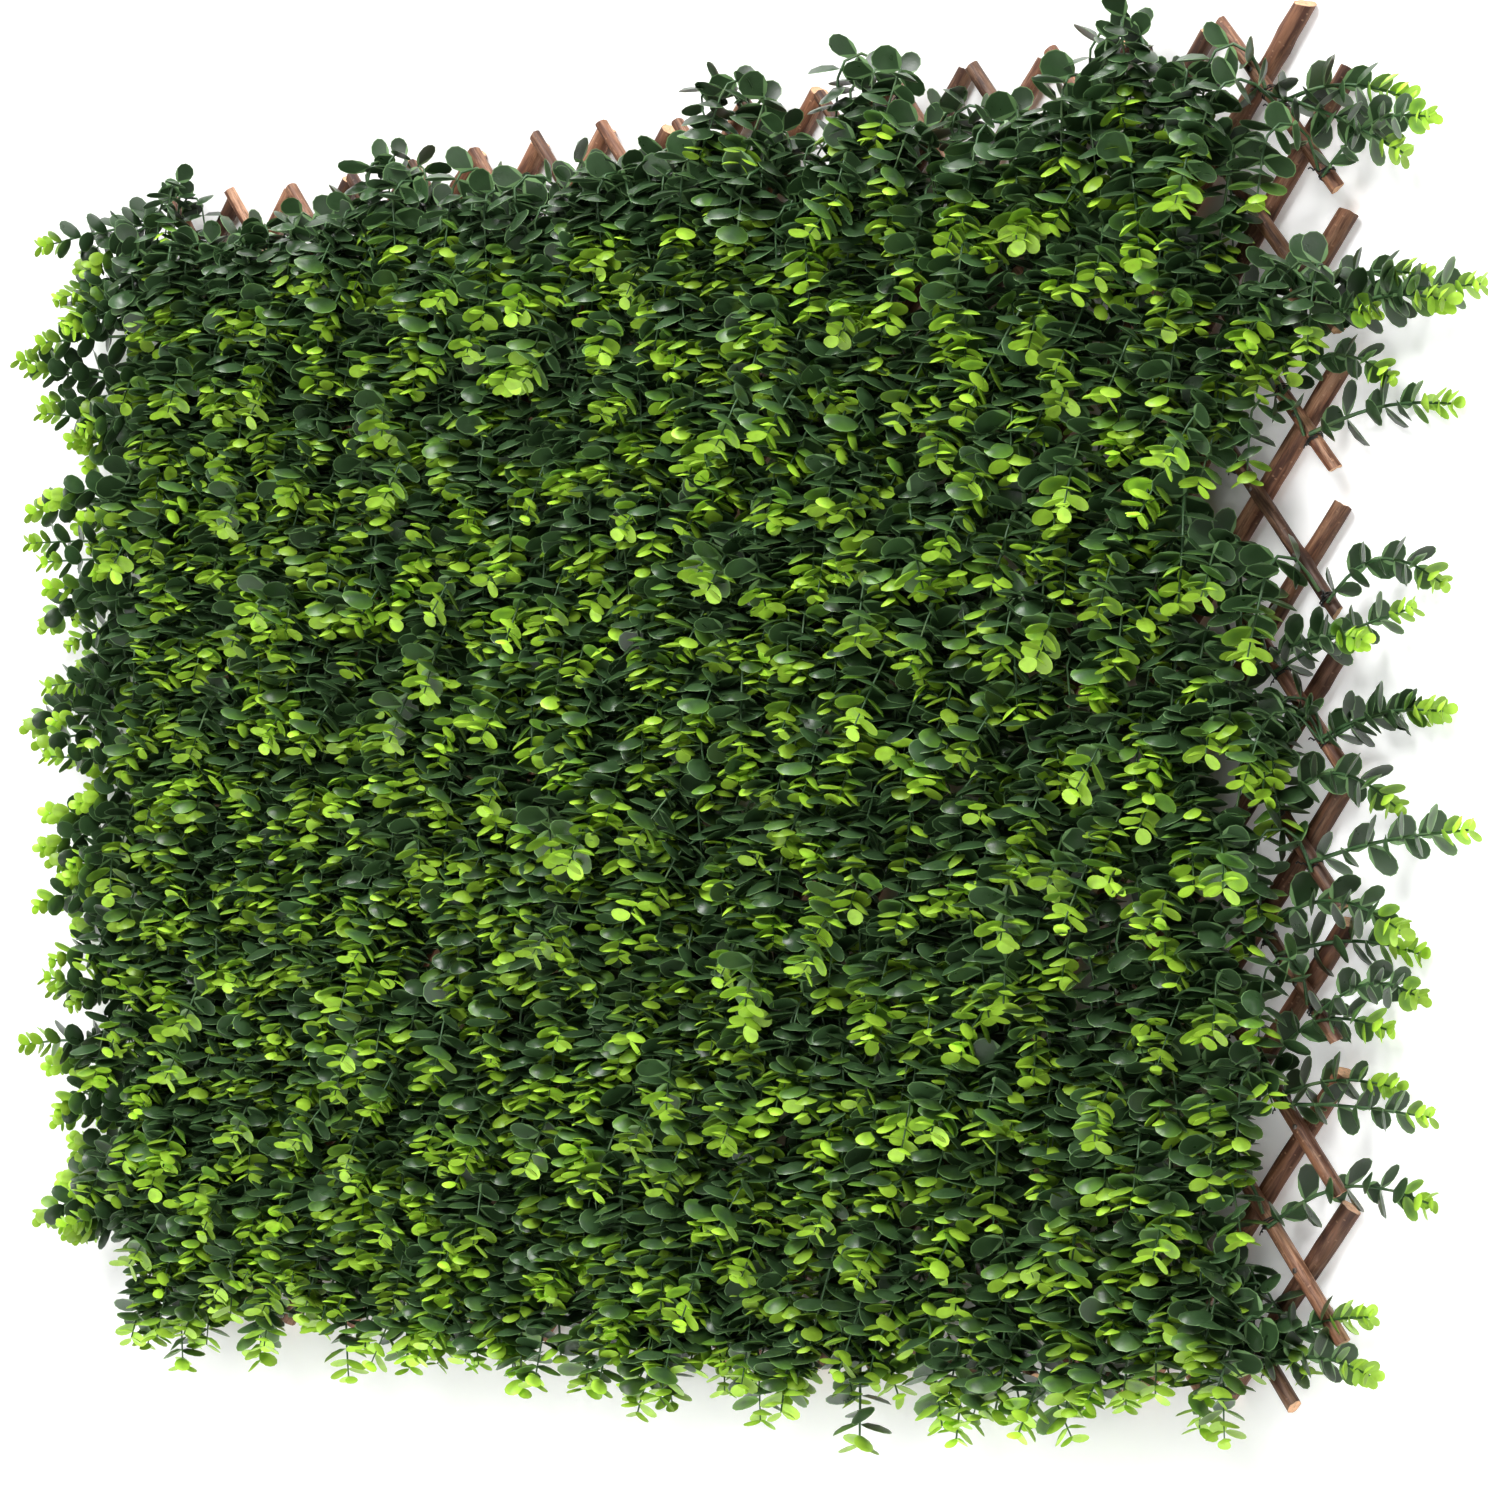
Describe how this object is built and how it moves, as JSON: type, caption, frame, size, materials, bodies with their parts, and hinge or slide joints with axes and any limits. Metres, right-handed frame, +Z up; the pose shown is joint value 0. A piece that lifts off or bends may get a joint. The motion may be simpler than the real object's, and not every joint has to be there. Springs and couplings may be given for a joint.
{
  "type": "artificial hedge trellis",
  "caption": "Expanding willow lattice whose crossed sticks fold like a scissor, its front covered with hanging sprigs of small artificial leaves; hangs flat on a wall or fence",
  "frame": {"origin": "the end of the middle crossing's screw, in the plane of the wall that the back sticks lie on", "axes": "+Z up; +Y into the wall, so the leaves face -Y; +X to the right as seen from the front, along the lattice's width"},
  "size_m": [1.554, 0.1096, 1.0595],
  "materials": {
    "screw_steel": "satin",
    "bark_back": "satin",
    "bark_front": "satin",
    "leaf_plastic": "satin",
    "stem_plastic": "satin",
    "tie_wire": "satin",
    "cut_wood": "matte"
  },
  "bodies": {
    "wall_screw": {"centre_screw": "screw_steel"},
    "back_01": {"back_stick_01": "bark_back"},
    "back_02": {"back_stick_02": "bark_back"},
    "back_03": {"back_stick_03": "bark_back"},
    "back_04": {"back_stick_04": "bark_back"},
    "back_05": {"back_stick_05": "bark_back"},
    "back_06": {"back_stick_06": "bark_back"},
    "back_07": {"back_stick_07": "bark_back"},
    "back_08": {"back_stick_08": "bark_back"},
    "back_09": {"back_stick_09": "bark_back"},
    "back_10": {"back_stick_10": "bark_back"},
    "back_11": {"back_stick_11": "bark_back"},
    "back_12": {"back_stick_12": "bark_back"},
    "back_13": {"back_stick_13": "bark_back"},
    "back_14": {"back_stick_14": "bark_back"},
    "back_15": {"back_stick_15": "bark_back"},
    "back_16": {"back_stick_16": "bark_back"},
    "back_17": {"back_stick_17": "bark_back"},
    "back_18": {"back_stick_18": "bark_back"},
    "back_19": {"back_stick_19": "bark_back"},
    "back_20": {"back_stick_20": "bark_back"},
    "back_21": {"back_stick_21": "bark_back"},
    "back_22": {"back_stick_22": "bark_back"},
    "back_23": {"back_stick_23": "bark_back"},
    "back_24": {"back_stick_24": "bark_back"},
    "back_25": {"back_stick_25": "bark_back"},
    "front_01": {"front_stick_01": "bark_front"},
    "front_02": {"front_stick_02": "bark_front", "sprig_row_1": "leaf_plastic"},
    "front_03": {"front_stick_03": "bark_front"},
    "front_04": {"front_stick_04": "bark_front", "sprig_row_2": "leaf_plastic"},
    "front_05": {"front_stick_05": "bark_front"},
    "front_06": {"front_stick_06": "bark_front"},
    "front_07": {"front_stick_07": "bark_front", "sprig_row_3": "leaf_plastic"},
    "front_08": {"front_stick_08": "bark_front"},
    "front_09": {"front_stick_09": "bark_front"},
    "front_10": {"front_stick_10": "bark_front", "sprig_row_4": "leaf_plastic"},
    "front_11": {"front_stick_11": "bark_front"},
    "front_12": {"front_stick_12": "bark_front"},
    "front_13": {"front_stick_13": "bark_front", "sprig_row_5": "leaf_plastic"},
    "front_14": {"front_stick_14": "bark_front"},
    "front_15": {"front_stick_15": "bark_front"},
    "front_16": {"front_stick_16": "bark_front", "sprig_row_6": "leaf_plastic"},
    "front_17": {"front_stick_17": "bark_front"},
    "front_18": {"front_stick_18": "bark_front"},
    "front_19": {"front_stick_19": "bark_front", "sprig_row_7": "leaf_plastic"},
    "front_20": {"front_stick_20": "bark_front"},
    "front_21": {"front_stick_21": "bark_front"},
    "front_22": {"front_stick_22": "bark_front", "sprig_row_8": "leaf_plastic"},
    "front_23": {"front_stick_23": "bark_front"},
    "front_24": {"front_stick_24": "bark_front"},
    "front_25": {"front_stick_25": "bark_front", "sprig_row_9": "leaf_plastic"}
  },
  "joints": [
    {"name": "fold", "type": "hinge", "parent": "wall_screw", "child": "back_13", "pos_m": [0, 0, 0], "axis": [0, -1, 0], "range_deg": [-22, 29], "deforming": ["sprig_row_1", "sprig_row_2", "sprig_row_3", "sprig_row_4", "sprig_row_5", "sprig_row_6", "sprig_row_7", "sprig_row_8", "sprig_row_9"]},
    {"name": "turn_front_01", "type": "hinge", "parent": "back_16", "child": "front_01", "pos_m": [-0.58676, 0, -0.45], "axis": [0, -1, 0], "range_deg": [-58, 44]},
    {"name": "turn_front_02", "type": "hinge", "parent": "back_16", "child": "front_02", "pos_m": [-0.54765, 0, -0.4], "axis": [0, -1, 0], "range_deg": [-58, 44]},
    {"name": "turn_front_03", "type": "hinge", "parent": "back_16", "child": "front_03", "pos_m": [-0.50853, 0, -0.35], "axis": [0, -1, 0], "range_deg": [-58, 44]},
    {"name": "turn_front_04", "type": "hinge", "parent": "back_13", "child": "front_04", "pos_m": [-0.35206, 0, -0.45], "axis": [0, -1, 0], "range_deg": [-58, 44]},
    {"name": "turn_front_05", "type": "hinge", "parent": "back_13", "child": "front_05", "pos_m": [-0.31294, 0, -0.4], "axis": [0, -1, 0], "range_deg": [-58, 44]},
    {"name": "turn_front_06", "type": "hinge", "parent": "back_13", "child": "front_06", "pos_m": [-0.27382, 0, -0.35], "axis": [0, -1, 0], "range_deg": [-58, 44]},
    {"name": "turn_front_07", "type": "hinge", "parent": "back_13", "child": "front_07", "pos_m": [-0.23471, 0, -0.3], "axis": [0, -1, 0], "range_deg": [-58, 44]},
    {"name": "turn_front_08", "type": "hinge", "parent": "back_13", "child": "front_08", "pos_m": [-0.19559, 0, -0.25], "axis": [0, -1, 0], "range_deg": [-58, 44]},
    {"name": "turn_front_09", "type": "hinge", "parent": "back_13", "child": "front_09", "pos_m": [-0.15647, 0, -0.2], "axis": [0, -1, 0], "range_deg": [-58, 44]},
    {"name": "turn_front_10", "type": "hinge", "parent": "back_13", "child": "front_10", "pos_m": [-0.11735, 0, -0.15], "axis": [0, -1, 0], "range_deg": [-58, 44]},
    {"name": "turn_front_11", "type": "hinge", "parent": "back_13", "child": "front_11", "pos_m": [-0.07824, 0, -0.1], "axis": [0, -1, 0], "range_deg": [-58, 44]},
    {"name": "turn_front_12", "type": "hinge", "parent": "back_13", "child": "front_12", "pos_m": [-0.03912, 0, -0.05], "axis": [0, -1, 0], "range_deg": [-58, 44]},
    {"name": "turn_front_13", "type": "hinge", "parent": "wall_screw", "child": "front_13", "pos_m": [0, 0, 0], "axis": [0, -1, 0], "range_deg": [-29, 22]},
    {"name": "turn_front_14", "type": "hinge", "parent": "back_13", "child": "front_14", "pos_m": [0.03912, 0, 0.05], "axis": [0, -1, 0], "range_deg": [-58, 44]},
    {"name": "turn_front_15", "type": "hinge", "parent": "back_13", "child": "front_15", "pos_m": [0.07824, 0, 0.1], "axis": [0, -1, 0], "range_deg": [-58, 44]},
    {"name": "turn_front_16", "type": "hinge", "parent": "back_13", "child": "front_16", "pos_m": [0.11735, 0, 0.15], "axis": [0, -1, 0], "range_deg": [-58, 44]},
    {"name": "turn_front_17", "type": "hinge", "parent": "back_13", "child": "front_17", "pos_m": [0.15647, 0, 0.2], "axis": [0, -1, 0], "range_deg": [-58, 44]},
    {"name": "turn_front_18", "type": "hinge", "parent": "back_13", "child": "front_18", "pos_m": [0.19559, 0, 0.25], "axis": [0, -1, 0], "range_deg": [-58, 44]},
    {"name": "turn_front_19", "type": "hinge", "parent": "back_13", "child": "front_19", "pos_m": [0.23471, 0, 0.3], "axis": [0, -1, 0], "range_deg": [-58, 44]},
    {"name": "turn_front_20", "type": "hinge", "parent": "back_13", "child": "front_20", "pos_m": [0.27382, 0, 0.35], "axis": [0, -1, 0], "range_deg": [-58, 44]},
    {"name": "turn_front_21", "type": "hinge", "parent": "back_13", "child": "front_21", "pos_m": [0.31294, 0, 0.4], "axis": [0, -1, 0], "range_deg": [-58, 44]},
    {"name": "turn_front_22", "type": "hinge", "parent": "back_13", "child": "front_22", "pos_m": [0.35206, 0, 0.45], "axis": [0, -1, 0], "range_deg": [-58, 44]},
    {"name": "turn_front_23", "type": "hinge", "parent": "back_10", "child": "front_23", "pos_m": [0.50853, 0, 0.35], "axis": [0, -1, 0], "range_deg": [-58, 44]},
    {"name": "turn_front_24", "type": "hinge", "parent": "back_10", "child": "front_24", "pos_m": [0.54765, 0, 0.4], "axis": [0, -1, 0], "range_deg": [-58, 44]},
    {"name": "turn_front_25", "type": "hinge", "parent": "back_10", "child": "front_25", "pos_m": [0.58676, 0, 0.45], "axis": [0, -1, 0], "range_deg": [-58, 44]},
    {"name": "turn_back_01", "type": "hinge", "parent": "front_16", "child": "back_01", "pos_m": [0.58676, 0, -0.45], "axis": [0, -1, 0], "range_deg": [-44, 58]},
    {"name": "turn_back_02", "type": "hinge", "parent": "front_16", "child": "back_02", "pos_m": [0.54765, 0, -0.4], "axis": [0, -1, 0], "range_deg": [-44, 58]},
    {"name": "turn_back_03", "type": "hinge", "parent": "front_16", "child": "back_03", "pos_m": [0.50853, 0, -0.35], "axis": [0, -1, 0], "range_deg": [-44, 58]},
    {"name": "turn_back_04", "type": "hinge", "parent": "front_13", "child": "back_04", "pos_m": [0.35206, 0, -0.45], "axis": [0, -1, 0], "range_deg": [-44, 58]},
    {"name": "turn_back_05", "type": "hinge", "parent": "front_13", "child": "back_05", "pos_m": [0.31294, 0, -0.4], "axis": [0, -1, 0], "range_deg": [-44, 58]},
    {"name": "turn_back_06", "type": "hinge", "parent": "front_13", "child": "back_06", "pos_m": [0.27382, 0, -0.35], "axis": [0, -1, 0], "range_deg": [-44, 58]},
    {"name": "turn_back_07", "type": "hinge", "parent": "front_13", "child": "back_07", "pos_m": [0.23471, 0, -0.3], "axis": [0, -1, 0], "range_deg": [-44, 58]},
    {"name": "turn_back_08", "type": "hinge", "parent": "front_13", "child": "back_08", "pos_m": [0.19559, 0, -0.25], "axis": [0, -1, 0], "range_deg": [-44, 58]},
    {"name": "turn_back_09", "type": "hinge", "parent": "front_13", "child": "back_09", "pos_m": [0.15647, 0, -0.2], "axis": [0, -1, 0], "range_deg": [-44, 58]},
    {"name": "turn_back_10", "type": "hinge", "parent": "front_13", "child": "back_10", "pos_m": [0.11735, 0, -0.15], "axis": [0, -1, 0], "range_deg": [-44, 58]},
    {"name": "turn_back_11", "type": "hinge", "parent": "front_13", "child": "back_11", "pos_m": [0.07824, 0, -0.1], "axis": [0, -1, 0], "range_deg": [-44, 58]},
    {"name": "turn_back_12", "type": "hinge", "parent": "front_13", "child": "back_12", "pos_m": [0.03912, 0, -0.05], "axis": [0, -1, 0], "range_deg": [-44, 58]},
    {"name": "turn_back_14", "type": "hinge", "parent": "front_13", "child": "back_14", "pos_m": [-0.03912, 0, 0.05], "axis": [0, -1, 0], "range_deg": [-44, 58]},
    {"name": "turn_back_15", "type": "hinge", "parent": "front_13", "child": "back_15", "pos_m": [-0.07824, 0, 0.1], "axis": [0, -1, 0], "range_deg": [-44, 58]},
    {"name": "turn_back_16", "type": "hinge", "parent": "front_13", "child": "back_16", "pos_m": [-0.11735, 0, 0.15], "axis": [0, -1, 0], "range_deg": [-44, 58]},
    {"name": "turn_back_17", "type": "hinge", "parent": "front_13", "child": "back_17", "pos_m": [-0.15647, 0, 0.2], "axis": [0, -1, 0], "range_deg": [-44, 58]},
    {"name": "turn_back_18", "type": "hinge", "parent": "front_13", "child": "back_18", "pos_m": [-0.19559, 0, 0.25], "axis": [0, -1, 0], "range_deg": [-44, 58]},
    {"name": "turn_back_19", "type": "hinge", "parent": "front_13", "child": "back_19", "pos_m": [-0.23471, 0, 0.3], "axis": [0, -1, 0], "range_deg": [-44, 58]},
    {"name": "turn_back_20", "type": "hinge", "parent": "front_13", "child": "back_20", "pos_m": [-0.27382, 0, 0.35], "axis": [0, -1, 0], "range_deg": [-44, 58]},
    {"name": "turn_back_21", "type": "hinge", "parent": "front_13", "child": "back_21", "pos_m": [-0.31294, 0, 0.4], "axis": [0, -1, 0], "range_deg": [-44, 58]},
    {"name": "turn_back_22", "type": "hinge", "parent": "front_13", "child": "back_22", "pos_m": [-0.35206, 0, 0.45], "axis": [0, -1, 0], "range_deg": [-44, 58]},
    {"name": "turn_back_23", "type": "hinge", "parent": "front_10", "child": "back_23", "pos_m": [-0.50853, 0, 0.35], "axis": [0, -1, 0], "range_deg": [-44, 58]},
    {"name": "turn_back_24", "type": "hinge", "parent": "front_10", "child": "back_24", "pos_m": [-0.54765, 0, 0.4], "axis": [0, -1, 0], "range_deg": [-44, 58]},
    {"name": "turn_back_25", "type": "hinge", "parent": "front_10", "child": "back_25", "pos_m": [-0.58676, 0, 0.45], "axis": [0, -1, 0], "range_deg": [-44, 58]}
  ],
  "couplings": [
    {"joint": "turn_front_01", "follows": "fold", "ratio": -2},
    {"joint": "turn_front_02", "follows": "fold", "ratio": -2},
    {"joint": "turn_front_03", "follows": "fold", "ratio": -2},
    {"joint": "turn_front_04", "follows": "fold", "ratio": -2},
    {"joint": "turn_front_05", "follows": "fold", "ratio": -2},
    {"joint": "turn_front_06", "follows": "fold", "ratio": -2},
    {"joint": "turn_front_07", "follows": "fold", "ratio": -2},
    {"joint": "turn_front_08", "follows": "fold", "ratio": -2},
    {"joint": "turn_front_09", "follows": "fold", "ratio": -2},
    {"joint": "turn_front_10", "follows": "fold", "ratio": -2},
    {"joint": "turn_front_11", "follows": "fold", "ratio": -2},
    {"joint": "turn_front_12", "follows": "fold", "ratio": -2},
    {"joint": "turn_front_13", "follows": "fold", "ratio": -1},
    {"joint": "turn_front_14", "follows": "fold", "ratio": -2},
    {"joint": "turn_front_15", "follows": "fold", "ratio": -2},
    {"joint": "turn_front_16", "follows": "fold", "ratio": -2},
    {"joint": "turn_front_17", "follows": "fold", "ratio": -2},
    {"joint": "turn_front_18", "follows": "fold", "ratio": -2},
    {"joint": "turn_front_19", "follows": "fold", "ratio": -2},
    {"joint": "turn_front_20", "follows": "fold", "ratio": -2},
    {"joint": "turn_front_21", "follows": "fold", "ratio": -2},
    {"joint": "turn_front_22", "follows": "fold", "ratio": -2},
    {"joint": "turn_front_23", "follows": "fold", "ratio": -2},
    {"joint": "turn_front_24", "follows": "fold", "ratio": -2},
    {"joint": "turn_front_25", "follows": "fold", "ratio": -2},
    {"joint": "turn_back_01", "follows": "fold", "ratio": 2},
    {"joint": "turn_back_02", "follows": "fold", "ratio": 2},
    {"joint": "turn_back_03", "follows": "fold", "ratio": 2},
    {"joint": "turn_back_04", "follows": "fold", "ratio": 2},
    {"joint": "turn_back_05", "follows": "fold", "ratio": 2},
    {"joint": "turn_back_06", "follows": "fold", "ratio": 2},
    {"joint": "turn_back_07", "follows": "fold", "ratio": 2},
    {"joint": "turn_back_08", "follows": "fold", "ratio": 2},
    {"joint": "turn_back_09", "follows": "fold", "ratio": 2},
    {"joint": "turn_back_10", "follows": "fold", "ratio": 2},
    {"joint": "turn_back_11", "follows": "fold", "ratio": 2},
    {"joint": "turn_back_12", "follows": "fold", "ratio": 2},
    {"joint": "turn_back_14", "follows": "fold", "ratio": 2},
    {"joint": "turn_back_15", "follows": "fold", "ratio": 2},
    {"joint": "turn_back_16", "follows": "fold", "ratio": 2},
    {"joint": "turn_back_17", "follows": "fold", "ratio": 2},
    {"joint": "turn_back_18", "follows": "fold", "ratio": 2},
    {"joint": "turn_back_19", "follows": "fold", "ratio": 2},
    {"joint": "turn_back_20", "follows": "fold", "ratio": 2},
    {"joint": "turn_back_21", "follows": "fold", "ratio": 2},
    {"joint": "turn_back_22", "follows": "fold", "ratio": 2},
    {"joint": "turn_back_23", "follows": "fold", "ratio": 2},
    {"joint": "turn_back_24", "follows": "fold", "ratio": 2},
    {"joint": "turn_back_25", "follows": "fold", "ratio": 2}
  ]
}
